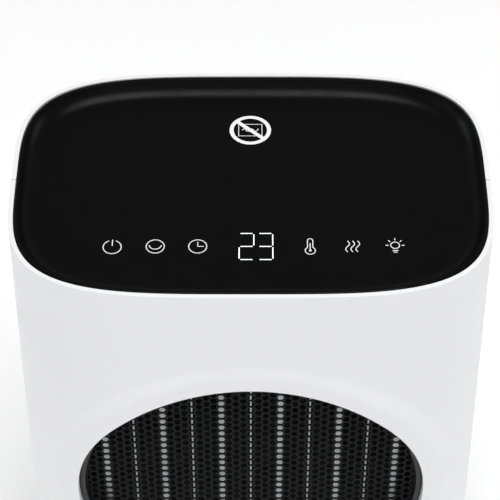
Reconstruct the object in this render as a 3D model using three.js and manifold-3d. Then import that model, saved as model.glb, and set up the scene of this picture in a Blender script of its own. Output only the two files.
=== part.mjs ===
// Compact ceramic space heater on a swivelling base.
// Millimetres, +Z up. The air outlet faces -Y. The origin is on the floor, under the pivot.

import * as THREE from 'three';
import { mergeVertices } from 'three/addons/utils/BufferGeometryUtils.js';
import Module from 'manifold-3d';

const wasm = await Module();
wasm.setup();

// Driving dimensions

const gap = 0.3; // clearance left wherever two pieces meet
const wall = 2.4;

// Upright body: a rounded rectangle in plan, drawn as a superellipse
const squareness = 3.8;
const outlineSteps = 64;
const bodyHalfWidth = 91.6; // at the rim
const bodyHalfDepth = 60.6;
const sideFlare = 0.000166; // the sides spread by this share of the width for each millimetre down
const bodyBottom = 29;
const rimHeight = 275;
const rebateWall = 1.8; // shell thickness beside the panel
const ledgeWidth = 5;
const ledgeHeight = 265;
const ledgeThickness = 3;

// Dished touch panel
const panelHalfWidth = 89.5;
const panelHalfDepth = 58.5;
const panelLip = 1.4;
const dishDepth = 5.5;
const dishSlope = 6.3; // width of the sloping band
const panelFloor = 2;
const iconRow = -29.9;
const displayCentre = 1.9;

// Round air outlet and its guard
const outletHeight = 152;
const outletRadius = 70;
const collarRadius = 83;
const collarRise = 2.4;
const outletSides = 44;
const guardFront = -50.6;
const guardThickness = 0.6;
const guardRadius = 69.4;

// Ceramic heating element: bars and folded-fin packs side by side
const elementFront = -44;
const elementBack = -26;
const elementHalfHeight = 70;
const barPitch = 23.6;
const barWidth = 4;
const barCount = 6;
const frameHeight = 8;

// Fan and its motor
const fanRadius = 58;
const fanFront = -10;
const fanBack = 8;
const fanHubRadius = 20;
const bladeCount = 7;
const stackFront = 20; // laminated stator, along Y
const stackBack = 38;
const rotorRadius = 15;
const shaftRadius = 2.5;

// Rear air intake
const intakeHalfWidth = 62;
const intakeBottom = 92;
const intakeTop = 208;

// Recessed hand grip
const gripHalfWidth = 42;
const gripBottom = 222;
const gripTop = 244;
const gripDepth = 22;

// Rear power rocker and cord inlet
const rockerCentre = 26;
const rockerHeight = 52;
const rockerPivot = 58.6;
const rockerTilt = 8; // degrees either side of level
const canHalfWidth = 10.5; // the rocker housing's body
const canHalfHeight = 7.5;
const glandCentre = -26;
const glandHeight = 50;
const glandBore = 3.7;
const glandStem = 7;

// Swivel base
const baseRadius = 75;
const baseTop = 26;
const baseBottom = 2.4;
const baseRounding = 6;
const wellRadius = 50;
const wellFloor = 16;
const hubRadius = 10;
const footHeight = 2.1;
const footRadius = 8;
const footCircle = 60;

// Swing drive: a crank whose pin works in a slot of the base
const driveOffset = 30; // pivot to motor axis
const crankRadius = 15; // motor axis to pin, half the offset for 30 degrees each way
const crankTop = 24;

// Tip-over switch
const tipOffset = 62.5;
const tipRadius = 2.6;
const tipTop = 13;

// Materials

function finish(color, roughness, metalness) {
  return new THREE.MeshStandardMaterial({ color, roughness, metalness });
}

const whitePlastic = finish(0xf0f0ee, 0.4, 0);
const glossBlack = finish(0x08080a, 0.22, 0);
const blackPlastic = finish(0x1a1a1c, 0.55, 0);
const darkRubber = finish(0x222222, 0.9, 0);
const steel = finish(0xb4b6b8, 0.35, 1);
const blackSteel = finish(0x17181a, 0.45, 1);
const aluminium = finish(0xc4c6c8, 0.4, 1);
const copper = finish(0xb5673a, 0.35, 1);
const creamPlastic = finish(0xd9d2bf, 0.6, 0);
const greenBoard = finish(0x1d5b36, 0.5, 0);
const redCable = finish(0xa8322b, 0.6, 0);
const foamBlack = finish(0x101010, 0.95, 0);

// Solids

function solidFrom(geometry) {
  const bare = geometry.clone();
  bare.deleteAttribute('normal');
  bare.deleteAttribute('uv');
  const welded = mergeVertices(bare, 1e-4);
  const corners = welded.index.array;
  const kept = [];
  for (let i = 0; i < corners.length; i += 3) {
    const [a, b, c] = [corners[i], corners[i + 1], corners[i + 2]];
    if (a !== b && b !== c && c !== a) {
      kept.push(a, b, c);
    }
  }
  return new wasm.Manifold(new wasm.Mesh({
    numProp: 3,
    vertProperties: new Float32Array(welded.attributes.position.array),
    triVerts: new Uint32Array(kept),
  }));
}

function geometryFrom(solid) {
  const mesh = solid.getMesh();
  const geometry = new THREE.BufferGeometry();
  geometry.setAttribute('position', new THREE.BufferAttribute(mesh.vertProperties, 3));
  geometry.setIndex(new THREE.BufferAttribute(mesh.triVerts, 1));
  geometry.computeVertexNormals();
  return geometry;
}

// A block between two corners
function block(x0, x1, y0, y1, z0, z1) {
  const geometry = new THREE.BoxGeometry(x1 - x0, y1 - y0, z1 - z0);
  geometry.translate((x0 + x1) / 2, (y0 + y1) / 2, (z0 + z1) / 2);
  return solidFrom(geometry);
}

// A round bar standing along Z
function uprightBar(radius, x, y, z0, z1, sides = 16) {
  const geometry = new THREE.CylinderGeometry(radius, radius, z1 - z0, sides);
  geometry.rotateX(Math.PI / 2);
  geometry.translate(x, y, (z0 + z1) / 2);
  return solidFrom(geometry);
}

// A round bar lying along Y, front to back
function levelBar(radius, x, z, y0, y1, sides = 16) {
  const geometry = new THREE.CylinderGeometry(radius, radius, y1 - y0, sides);
  geometry.translate(x, (y0 + y1) / 2, z);
  return solidFrom(geometry);
}

// A turned piece about Z. The profile runs anticlockwise as [radius, height].
function turnedUpright(profile, sides = 24) {
  const points = profile.map(([radius, height]) => new THREE.Vector2(radius, height));
  points.push(points[0].clone());
  const geometry = new THREE.LatheGeometry(points, sides);
  geometry.rotateX(Math.PI / 2);
  return solidFrom(geometry);
}

// A turned piece about an axis along Y. The profile runs anticlockwise as [radius, y].
function turnedLevel(profile, x, z, sides = 24) {
  const points = profile.map(([radius, along]) => new THREE.Vector2(radius, along));
  points.push(points[0].clone());
  const geometry = new THREE.LatheGeometry(points, sides);
  geometry.translate(x, 0, z);
  return solidFrom(geometry);
}

function tubeProfile(inner, outer, start, end) {
  return [[inner, start], [outer, start], [outer, end], [inner, end]];
}

// The body's plan outline at a given half width and half depth
function bodyOutline(halfWidth, halfDepth) {
  const points = [];
  for (let step = 0; step < outlineSteps; step += 1) {
    const turn = (2 * Math.PI * step) / outlineSteps;
    const across = Math.cos(turn);
    const along = Math.sin(turn);
    const sum = Math.abs(across) ** squareness + Math.abs(along) ** squareness;
    const reach = sum ** (-1 / squareness);
    points.push(new THREE.Vector2(halfWidth * across * reach, halfDepth * along * reach));
  }
  return new THREE.Shape(points);
}

// The body's outline drawn in by an inset, raised from z0 to z1, with its sides spreading downwards
function bodyPrism(inset, z0, z1) {
  const outline = bodyOutline(bodyHalfWidth - inset, bodyHalfDepth - inset);
  const geometry = new THREE.ExtrudeGeometry(outline, { depth: z1 - z0, bevelEnabled: false });
  geometry.translate(0, 0, z0);
  const corners = geometry.attributes.position;
  for (let i = 0; i < corners.count; i += 1) {
    corners.setX(i, corners.getX(i) * (1 + sideFlare * (rimHeight - corners.getZ(i))));
  }
  return solidFrom(geometry);
}

function panelPrism(inset, z0, z1) {
  const outline = bodyOutline(panelHalfWidth - inset, panelHalfDepth - inset);
  const geometry = new THREE.ExtrudeGeometry(outline, { depth: z1 - z0, bevelEnabled: false });
  geometry.translate(0, 0, z0);
  return solidFrom(geometry);
}

// A flat shape in X and Z, given thickness from y0 to y1
function standingPlate(shape, y0, y1, z = 0) {
  const geometry = new THREE.ExtrudeGeometry(shape, { depth: y1 - y0, bevelEnabled: false });
  geometry.rotateX(Math.PI / 2);
  geometry.translate(0, y1, z);
  return solidFrom(geometry);
}

function joined(solids) {
  return solids.reduce((whole, solid) => whole.add(solid));
}

// A round wire along a smooth curve through the given points
function wire(points, radius, steps) {
  const section = new THREE.Shape();
  section.absarc(0, 0, radius, 0, 2 * Math.PI);
  const path = new THREE.CatmullRomCurve3(points.map(([x, y, z]) => new THREE.Vector3(x, y, z)));
  const options = { extrudePath: path, steps, bevelEnabled: false, curveSegments: 4 };
  return new THREE.ExtrudeGeometry(section, options);
}

// Assembly

const heater = new THREE.Group();
heater.name = 'ceramic_space_heater';

function place(name, shape, material) {
  const geometry = shape.isBufferGeometry ? shape : geometryFrom(shape);
  const mesh = new THREE.Mesh(geometry, material);
  mesh.name = name;
  heater.add(mesh);
}

// Body shells

const bodyWide = bodyHalfWidth + 10; // beyond the body on every side, for cutting
const bodyDeep = bodyHalfDepth + 20;
const cutFrom = 40; // rear openings are cut from here outwards
const screwPlaces = [[-70, 45], [70, 45], [-70, 250], [70, 250]];
const bossEnd = 38; // where the rear bosses meet the front posts
const postRadius = 4;
const bossRadius = 5.5;
const pilotRadius = 1.6;
const clearanceRadius = 1.7;
const counterboreRadius = 3.6;
const counterboreFloor = 46;
const postInset = 0.5; // posts, bosses and throat stop this far inside the outer face
const throatLip = 4; // the lip behind the guard, in from the outlet's edge
const throatLipDepth = 2;

function hollowBody() {
  return bodyPrism(0, bodyBottom, rimHeight)
    .subtract(bodyPrism(wall, bodyBottom - 1, ledgeHeight - ledgeThickness))
    .subtract(bodyPrism(wall + ledgeWidth, bodyBottom, rimHeight))
    .subtract(bodyPrism(rebateWall, ledgeHeight, rimHeight + 1));
}

function frontShell() {
  const frontHalf = block(-bodyWide, bodyWide, -bodyDeep, -gap / 2, 0, rimHeight + 5);
  const ringProfile = tubeProfile(outletRadius, collarRadius, -bodyDeep, 0);
  const ring = turnedLevel(ringProfile, 0, outletHeight, outletSides);
  const inside = bodyPrism(postInset, bodyBottom, rimHeight);
  const collar = ring.intersect(bodyPrism(-collarRise, bodyBottom, rimHeight)).subtract(inside);
  const seatBack = guardFront + guardThickness + gap;
  const throatProfile = [
    [outletRadius - throatLip, seatBack],
    [outletRadius, seatBack],
    [outletRadius, -bodyHalfDepth],
    [outletRadius + wall, -bodyHalfDepth],
    [outletRadius + wall, seatBack + throatLipDepth],
    [outletRadius - throatLip, seatBack + throatLipDepth],
  ];
  const throat = turnedLevel(throatProfile, 0, outletHeight, outletSides).intersect(inside);
  const opening = levelBar(outletRadius, 0, outletHeight, -bodyDeep, seatBack, outletSides);
  const posts = screwPlaces.map(
    ([x, z]) => levelBar(postRadius, x, z, -bodyHalfDepth, bossEnd - gap, 12),
  );
  const pilots = screwPlaces.map(([x, z]) => levelBar(pilotRadius, x, z, bossEnd - 12, bossEnd, 8));
  return joined([hollowBody().intersect(frontHalf), collar, throat])
    .subtract(opening)
    .add(joined(posts).intersect(inside))
    .subtract(joined(pilots));
}

function rearShell() {
  const rearHalf = block(-bodyWide, bodyWide, gap / 2, bodyDeep, 0, rimHeight + 5);
  const inside = bodyPrism(postInset, bodyBottom, rimHeight);
  const bosses = screwPlaces.map(([x, z]) => levelBar(bossRadius, x, z, bossEnd, bodyHalfDepth, 12));
  const clearances = screwPlaces.map(
    ([x, z]) => levelBar(clearanceRadius, x, z, bossEnd - 1, bodyHalfDepth, 8),
  );
  const counterbores = screwPlaces.map(
    ([x, z]) => levelBar(counterboreRadius, x, z, counterboreFloor, bodyDeep, 12),
  );
  const [coverHalf, canHalf] = [intakeHalfWidth + gap, canHalfWidth + gap];
  const [canBottom, canTop] = [rockerHeight - canHalfHeight - gap, rockerHeight + canHalfHeight + gap];
  const cutouts = [
    block(-coverHalf, coverHalf, cutFrom, bodyDeep, intakeBottom - gap, intakeTop + gap),
    block(-gripHalfWidth, gripHalfWidth, cutFrom, bodyDeep, gripBottom, gripTop),
    block(rockerCentre - canHalf, rockerCentre + canHalf, cutFrom, bodyDeep, canBottom, canTop),
    levelBar(glandStem + gap, glandCentre, glandHeight, cutFrom, bodyDeep),
  ];
  return hollowBody()
    .intersect(rearHalf)
    .add(joined(bosses).intersect(inside))
    .subtract(joined(counterbores))
    .subtract(joined(clearances))
    .subtract(joined(cutouts));
}

const screwTip = 30;
const screwRadius = 1.3;
const screwHeadRadius = 3.2;
const screwHeadTop = 48.8;

function shellScrew() {
  const underHead = counterboreFloor + gap;
  return turnedLevel([
    [0, screwTip],
    [screwRadius, screwTip],
    [screwRadius, underHead],
    [screwHeadRadius, underHead],
    [screwHeadRadius, screwHeadTop - 0.8],
    [screwHeadRadius - 0.8, screwHeadTop],
    [0, screwHeadTop],
  ], 0, 0, 12);
}

place('front_shell', frontShell(), whitePlastic);
place('rear_shell', rearShell(), whitePlastic);
screwPlaces.forEach(([x, z], index) => {
  place(`shell_screw_${index + 1}`, shellScrew().translate([x, 0, z]), steel);
});

// Touch panel and electronics

const dishFloor = rimHeight - dishDepth;
const panelUnderside = dishFloor - panelFloor;
const boardTop = 258.3;

function touchPanel() {
  const dishOutline = bodyOutline(panelHalfWidth - panelLip, panelHalfDepth - panelLip);
  const dish = new THREE.ExtrudeGeometry(dishOutline, {
    depth: 5,
    bevelThickness: dishDepth,
    bevelSize: dishSlope,
    bevelOffset: -dishSlope,
    bevelSegments: 1,
  });
  dish.translate(0, 0, rimHeight);
  return panelPrism(0, ledgeHeight + gap, rimHeight)
    .subtract(solidFrom(dish))
    .subtract(panelPrism(3.5, ledgeHeight, panelUnderside));
}

function lightBox() {
  const pocket = block(
    displayCentre - 10 - gap, displayCentre + 10 + gap, iconRow - 9 - gap, iconRow + 9 + gap, 250, 270,
  );
  const cell = 11;
  const wells = [];
  for (const icon of [-51.9, -35.8, -19.9, 22.2, 38.1, 54]) {
    const [x0, x1] = [icon - cell / 2, icon + cell / 2];
    wells.push(block(x0, x1, iconRow - cell / 2, iconRow + cell / 2, 250, 270));
  }
  return block(-62, 64, iconRow - 11.5, iconRow + 11.5, boardTop + gap, panelUnderside - gap)
    .subtract(joined([pocket, ...wells]));
}

place('touch_panel', touchPanel(), glossBlack);
place('light_box', lightBox(), creamPlastic);
place('display_module', block(
  displayCentre - 10, displayCentre + 10, iconRow - 9, iconRow + 9, boardTop + gap, panelUnderside - gap,
), blackPlastic);
place('control_board', block(-72, 72, -46, 12, boardTop - 1.6, boardTop), greenBoard);

// Outlet guard

// The sheet's fine mesh is simplified to upright slots
function outletGuard() {
  const slots = [];
  const pitch = 9;
  const slotHalf = 1.6;
  const openRadius = 62;
  for (let x = -6 * pitch; x <= 6 * pitch; x += pitch) {
    const reach = Math.sqrt(openRadius ** 2 - x ** 2);
    const [z0, z1] = [outletHeight - reach, outletHeight + reach];
    slots.push(block(x - slotHalf, x + slotHalf, guardFront - 1, 0, z0, z1));
  }
  return levelBar(guardRadius, 0, outletHeight, guardFront, guardFront + guardThickness, outletSides)
    .subtract(joined(slots));
}

const guardRingProfile = tubeProfile(67.3, outletRadius - gap, guardFront - 2.7, guardFront - gap);
place('guard_ring', turnedLevel(guardRingProfile, 0, outletHeight, outletSides), blackPlastic);
place('outlet_guard', outletGuard(), blackSteel);

// Heating element

const elementBottom = outletHeight - elementHalfHeight;
const elementTop = outletHeight + elementHalfHeight;
const elementHalfWidth = (barPitch * barCount) / 2;

function heaterFrame(z0, z1) {
  const rail = block(-74, 74, elementFront - 1, elementBack + 1, z0, z1);
  const middle = (z0 + z1) / 2;
  const ears = block(-82, 82, elementFront + 4, elementBack - 4, middle - 1.5, middle + 1.5);
  const holes = [-78, 78].map((x) => uprightBar(1.8, x, (elementFront + elementBack) / 2, 0, 300, 12));
  return joined([rail, ears]).subtract(joined(holes));
}

for (let bar = 0; bar < barCount; bar += 1) {
  const x = -elementHalfWidth + barPitch * (bar + 0.5);
  const half = barWidth / 2 - gap / 2;
  const solid = block(x - half, x + half, elementFront, elementBack, elementBottom, elementTop);
  place(`ptc_bar_${bar + 1}`, solid, aluminium);
}

for (let pack = 0; pack <= barCount; pack += 1) {
  const centre = -elementHalfWidth + barPitch * pack;
  const half = (barPitch - barWidth) / 2 - gap / 2;
  const x0 = Math.max(centre - half, -elementHalfWidth);
  const x1 = Math.min(centre + half, elementHalfWidth);
  const solid = block(x0, x1, elementFront + 1, elementBack - 1, elementBottom, elementTop);
  place(`fin_pack_${pack + 1}`, solid, aluminium);
}

const topRail = elementTop + gap;
const bottomRail = elementBottom - gap - frameHeight;
place('heater_frame_top', heaterFrame(topRail, topRail + frameHeight), creamPlastic);
place('heater_frame_bottom', heaterFrame(bottomRail, bottomRail + frameHeight), creamPlastic);

const frameTop = elementTop + 2 * gap + frameHeight;
const cutoutBody = uprightBar(8, 45, -35, frameTop, frameTop + 6);
const cutoutBlades = block(43, 47, -46, -24, frameTop + 5.5, frameTop + 6.5);
place('thermal_cutout', joined([cutoutBody, cutoutBlades]), steel);
place('thermal_fuse', uprightBar(2, -45, -35, frameTop, frameTop + 12, 16), creamPlastic);

// Fan and motor

const plenumHalf = 77;
const plenumFront = -25;
const plenumBack = -14;
const fanBore = fanRadius + 3;

function fanShroud() {
  const outline = bodyOutline(plenumHalf, plenumHalf);
  const plenum = standingPlate(outline, plenumFront, plenumBack, outletHeight);
  const inner = standingPlate(
    bodyOutline(plenumHalf - 2, plenumHalf - 2), plenumFront - 1, plenumBack - 2, outletHeight,
  );
  const ring = turnedLevel(tubeProfile(fanBore, fanBore + 2, plenumBack - 2, 12), 0, outletHeight, 36);
  const bore = levelBar(fanBore, 0, outletHeight, plenumFront, 20, 36);
  return plenum.subtract(inner).add(ring).subtract(bore);
}

function fanImpeller() {
  const hub = turnedLevel([
    [0, fanFront],
    [fanHubRadius - 4, fanFront],
    [fanHubRadius, fanFront + 4],
    [fanHubRadius, fanBack],
    [fanHubRadius - 2, fanBack],
    [fanHubRadius - 2, fanFront + 5],
    [shaftRadius + 4, fanFront + 5],
    [shaftRadius + 4, fanBack],
    [shaftRadius + gap, fanBack],
    [shaftRadius + gap, fanFront + 3],
    [0, fanFront + 3],
  ], 0, 0);
  const middle = (fanFront + fanBack) / 2;
  const blade = new THREE.BoxGeometry(26, 1.6, fanRadius);
  blade.rotateZ(THREE.MathUtils.degToRad(32));
  blade.translate(0, middle, fanRadius / 2 + fanHubRadius - 1);
  const sweep = turnedLevel(tubeProfile(fanHubRadius - 1, fanRadius, fanFront, fanBack), 0, 0);
  const blades = [];
  for (let turn = 0; turn < bladeCount; turn += 1) {
    const turned = blade.clone().rotateY((2 * Math.PI * turn) / bladeCount);
    blades.push(solidFrom(turned));
  }
  return hub.add(joined(blades).intersect(sweep)).translate([0, 0, outletHeight]);
}

// Laminated frame with the rotor bore above and the coil window below
function motorStator() {
  const frame = block(-28, 28, stackFront, stackBack, outletHeight - 46, outletHeight + 24);
  const bore = levelBar(rotorRadius + 0.5, 0, outletHeight, 0, 60, 24);
  const window = block(-17, 17, 0, 60, outletHeight - 36, outletHeight - 20);
  const pillarHoles = [-23, 23].map((x) => levelBar(3.3, x, outletHeight, 0, 60, 12));
  return frame.subtract(joined([bore, window, ...pillarHoles]));
}

function motorCoil() {
  const winding = block(-16, 16, stackFront - 7, stackBack + 7, outletHeight - 52, outletHeight - 29);
  const leg = block(
    -20, 20, stackFront - gap, stackBack + gap, outletHeight - 46 - gap, outletHeight - 36 + gap,
  );
  return winding.subtract(leg);
}

function motorRotor() {
  return turnedLevel([
    [0, fanFront + 3 + gap],
    [shaftRadius, fanFront + 3 + gap],
    [shaftRadius, stackFront],
    [rotorRadius, stackFront],
    [rotorRadius, stackBack],
    [shaftRadius, stackBack],
    [shaftRadius, 46],
    [0, 46],
  ], 0, outletHeight, 24);
}

// Front strap with two arms to the shroud, two pillars and a rear strap with the second bearing
function motorFrame() {
  const frontStrap = block(-66, 66, 12 + gap, 15.3, outletHeight - 7, outletHeight + 7);
  const rearStrap = block(-28, 28, 41, 44, outletHeight - 7, outletHeight + 7);
  const bosses = [
    levelBar(7.5, 0, outletHeight, 12 + gap, 18),
    levelBar(7.5, 0, outletHeight, 40, 45),
  ];
  const pillars = [-23, 23].map((x) => levelBar(3, x, outletHeight, 14, 43, 12));
  const bearings = levelBar(shaftRadius + 0.25, 0, outletHeight, 0, 60);
  return joined([frontStrap, rearStrap, ...bosses, ...pillars]).subtract(bearings);
}

place('fan_shroud', fanShroud(), blackPlastic);
place('fan_impeller', fanImpeller(), blackPlastic);
place('motor_rotor', motorRotor(), steel);
place('motor_stator', motorStator(), steel);
place('motor_coil', motorCoil(), copper);
place('motor_frame', motorFrame(), aluminium);

// Rear intake

// A sheet that follows the rear wall, between two insets
function rearSheet(inset, thickness, halfWidth, z0, z1) {
  return bodyPrism(inset, z0, z1)
    .subtract(bodyPrism(inset + thickness, z0 - 1, z1 + 1))
    .intersect(block(-halfWidth, halfWidth, 20, bodyDeep, z0, z1));
}

function filterCover() {
  const slots = [];
  const slotPitch = 11.5;
  const slotHeight = 3.6;
  for (let z = intakeBottom + 8; z < intakeTop - 10; z += slotPitch) {
    for (const [x0, x1] of [[-56, -3], [3, 56]]) {
      slots.push(block(x0, x1, 20, bodyDeep, z, z + slotHeight));
    }
  }
  const sheet = rearSheet(0, wall, intakeHalfWidth, intakeBottom, intakeTop);
  const pullTab = block(-14, 14, 59, 63, intakeTop - 5, intakeTop - 2);
  return sheet.subtract(joined(slots)).add(pullTab);
}

function intakeGrille() {
  const frame = block(-65, 65, 49.5, 51.5, intakeBottom - 3, intakeTop + 3);
  const slots = [];
  const pitch = 6.9;
  for (let slot = -8; slot <= 8; slot += 1) {
    const x = slot * pitch;
    for (const [z0, z1] of [[intakeBottom + 2, outletHeight - 2], [outletHeight + 2, intakeTop - 2]]) {
      slots.push(block(x - 1.9, x + 1.9, 40, 60, z0, z1));
    }
  }
  return frame.subtract(joined(slots));
}

place('filter_cover', filterCover(), whitePlastic);
place('filter_mesh', rearSheet(
  wall + gap, 1, intakeHalfWidth - 2, intakeBottom + 2, intakeTop - 2,
), foamBlack);
place('intake_grille', intakeGrille(), blackPlastic);

// Hand grip, rocker and cord inlet

function handGrip() {
  const [z0, z1] = [gripBottom - 4, gripTop + 4];
  const floor = bodyHalfDepth - gripDepth;
  const outer = block(-gripHalfWidth - 4, gripHalfWidth + 4, floor - 2, bodyDeep, z0, z1);
  const hollow = block(-gripHalfWidth, gripHalfWidth, floor, bodyDeep, gripBottom, gripTop);
  return outer
    .intersect(bodyPrism(wall + gap, bodyBottom, rimHeight))
    .subtract(hollow);
}

function switchHousing() {
  const flange = block(
    rockerCentre - 13, rockerCentre + 13, 60.9, 62.4, rockerHeight - 10, rockerHeight + 10,
  );
  const can = block(
    rockerCentre - canHalfWidth, rockerCentre + canHalfWidth, 42, 61,
    rockerHeight - canHalfHeight, rockerHeight + canHalfHeight,
  );
  const pocket = block(
    rockerCentre - 8.8, rockerCentre + 8.8, 54, 70, rockerHeight - 6.5, rockerHeight + 6.5,
  );
  return joined([flange, can]).subtract(pocket);
}

// A rocker with two faces that slope up from the pivot, tipped to its off side
function powerRocker() {
  const profile = new THREE.Shape();
  profile.moveTo(-5.5, -2.6);
  profile.lineTo(-4.5, 2.4);
  profile.lineTo(0, 3.4);
  profile.lineTo(4.5, 2.4);
  profile.lineTo(5.5, -2.6);
  profile.lineTo(0, -1.4);
  const geometry = new THREE.ExtrudeGeometry(profile, { depth: 17, bevelEnabled: false });
  geometry.translate(0, 0, -8.5);
  geometry.rotateY(Math.PI / 2);
  geometry.rotateZ(Math.PI);
  geometry.rotateX(THREE.MathUtils.degToRad(rockerTilt));
  geometry.translate(rockerCentre, rockerPivot, rockerHeight);
  return solidFrom(geometry);
}

const glandProfile = [
  [glandBore, 50],
  [glandStem, 50],
  [glandStem, 60.9],
  [glandStem + 2, 60.9],
  [glandStem + 2, 62],
  [glandStem - 0.5, 66],
  [glandBore, 66],
];

place('hand_grip', handGrip(), blackPlastic);
place('switch_housing', switchHousing(), blackPlastic);
place('power_rocker', powerRocker(), blackPlastic);
place('cord_gland', turnedLevel(glandProfile, glandCentre, glandHeight, 16), blackPlastic);

// Power electronics and wiring

function mainBoard() {
  return joined([
    block(-55, 55, 10, 48, 38, 39.6),
    block(-10, 10, 16, 32, 39, 55), // relay
    block(-34, -18, 14, 22, 39, 52), // suppression capacitor
    block(-52, -40, 14, 30, 39, 50), // terminal block
    block(18, 40, 12, 26, 39, 44), // small transformer and driver
  ]);
}

place('main_board', mainBoard(), greenBoard);
place('room_sensor', uprightBar(2.2, 60, 46, 66, 78, 16), blackPlastic);
place('heater_lead', wire([
  [-46, 22, 50.5], [-46, 22, 58], [-48, 4, 66],
  [-50, -20, 64], [-50, -34, 68], [-50, -35, elementBottom - 9],
], 1.8, 24), redCable);
place('motor_lead', wire([
  [0, 24, 55.5], [0, 24, 64], [0, 34, 76], [0, 30, 88], [0, 29, outletHeight - 52.5],
], 1.5, 20), redCable);

// Swivel joint and base

function bottomPlate() {
  const plate = bodyPrism(wall + gap, bodyBottom, bodyBottom + 3);
  const hub = turnedUpright([
    [6, 8], [hubRadius - 0.4, 8], [hubRadius - 0.4, 10], [8, 10],
    [8, 12.6], [hubRadius, 12.6], [hubRadius, 30], [6, 30],
  ]);
  const standoffs = [[-50, 14], [50, 14], [-50, 44], [50, 44]].map(
    ([x, y]) => uprightBar(3, x, y, bodyBottom + 2, 38 - gap, 8),
  );
  const holes = joined([
    uprightBar(6, 0, 0, 0, 40, 24),
    uprightBar(5.4, 0, -driveOffset, 20, 40),
  ]);
  return joined([plate, hub, ...standoffs]).subtract(holes);
}

function retainingRing() {
  const ring = turnedUpright(tubeProfile(8.3, 15, 10.2, 12.4));
  return ring.subtract(block(-4, 4, 0, 20, 5, 20));
}

function roundedCorner(centreRadius, centreHeight, radius, steps) {
  const points = [];
  for (let step = 0; step <= steps; step += 1) {
    const turn = (Math.PI / 2) * (step / steps);
    points.push([centreRadius + radius * Math.cos(turn), centreHeight + radius * Math.sin(turn)]);
  }
  return points;
}

function baseShell() {
  const cornerRadius = baseRadius - baseRounding;
  const cornerHeight = baseTop - baseRounding;
  const outerCorner = roundedCorner(cornerRadius, cornerHeight, baseRounding, 5);
  const innerCorner = roundedCorner(cornerRadius, cornerHeight, baseRounding - wall, 3).reverse();
  const profile = [
    [baseRadius - wall, baseBottom],
    [baseRadius, baseBottom],
    ...outerCorner,
    [wellRadius, baseTop],
    [wellRadius, wellFloor],
    [hubRadius + 0.4, wellFloor],
    [hubRadius + 0.4, wellFloor - wall],
    [wellRadius + wall, wellFloor - wall],
    [wellRadius + wall, baseTop - wall],
    ...innerCorner,
  ];
  const slot = block(
    -2.6, 2.6, -driveOffset - crankRadius - 2.6, -driveOffset + crankRadius + 2.6, 10, wellFloor + 1,
  );
  return turnedUpright(profile, 48).subtract(slot);
}

function baseCover() {
  const disc = uprightBar(baseRadius - wall - gap, 0, 0, baseBottom, baseBottom + wall, 48);
  return disc.subtract(uprightBar(tipRadius + 1, 0, tipOffset, 0, 10, 12));
}

place('bottom_plate', bottomPlate(), blackPlastic);
place('retaining_ring', retainingRing(), steel);
place('glide_ring', turnedUpright(tubeProfile(52, 57, baseTop + gap, bodyBottom - gap), 36), creamPlastic);
place('base_shell', baseShell(), whitePlastic);
place('base_cover', baseCover(), blackPlastic);

for (let foot = 0; foot < 4; foot += 1) {
  const turn = Math.PI / 4 + (Math.PI / 2) * foot;
  const [x, y] = [footCircle * Math.cos(turn), footCircle * Math.sin(turn)];
  place(`rubber_foot_${foot + 1}`, uprightBar(footRadius, x, y, 0, footHeight), darkRubber);
}

// Swing drive

function swingMotor() {
  const can = uprightBar(25, 0, -driveOffset, bodyBottom + 3 + gap, 48, 24);
  const ears = block(
    -31, 31, -driveOffset - 5, -driveOffset + 5, bodyBottom + 3 + gap, bodyBottom + 5,
  );
  return joined([can, ears]).subtract(uprightBar(3.1, 0, -driveOffset, 20, 41));
}

function swingCrank() {
  const disc = uprightBar(18.4, 0, -driveOffset, crankTop - 3, crankTop, 24);
  const neck = uprightBar(4.6, 0, -driveOffset, crankTop - 1, 28.5);
  const shaft = uprightBar(2.8, 0, -driveOffset, crankTop - 1, 40.5);
  const pin = uprightBar(2, 0, -driveOffset - crankRadius, wellFloor + 0.5, crankTop - 1, 12);
  return joined([disc, neck, shaft, pin]);
}

place('swing_motor', swingMotor(), steel);
place('swing_crank', swingCrank(), creamPlastic);

// Tip-over switch

const tipBoreTop = 18.5;

function tipSwitch() {
  return block(-7, 7, tipOffset - 6.5, tipOffset + 6.5, 8, 20)
    .subtract(uprightBar(tipRadius + 0.6, 0, tipOffset, 5, tipBoreTop));
}

class SpringCurve extends THREE.Curve {
  constructor(radius, bottom, height, turns) {
    super();
    Object.assign(this, { radius, bottom, height, turns });
  }

  getPoint(t, target = new THREE.Vector3()) {
    const turn = 2 * Math.PI * this.turns * t;
    const [x, y] = [this.radius * Math.cos(turn), this.radius * Math.sin(turn)];
    return target.set(x, y + tipOffset, this.bottom + this.height * t);
  }
}

function tipSpring() {
  const section = new THREE.Shape();
  section.absarc(0, 0, 0.35, 0, 2 * Math.PI);
  const wireSize = 0.4;
  const bottom = tipTop + gap + wireSize;
  const path = new SpringCurve(2, bottom, tipBoreTop - gap - wireSize - bottom, 3);
  const options = { extrudePath: path, steps: 36, bevelEnabled: false, curveSegments: 2 };
  return new THREE.ExtrudeGeometry(section, options);
}

place('tip_switch', tipSwitch(), blackPlastic);
place('tip_plunger', uprightBar(tipRadius, 0, tipOffset, 0, tipTop, 12), creamPlastic);
place('tip_spring', tipSpring(), steel);

export default heater;
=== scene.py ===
from math import atan2, copysign, cos, pi, radians, sin
import bmesh
import bpy
from mathutils import Matrix, Vector


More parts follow.
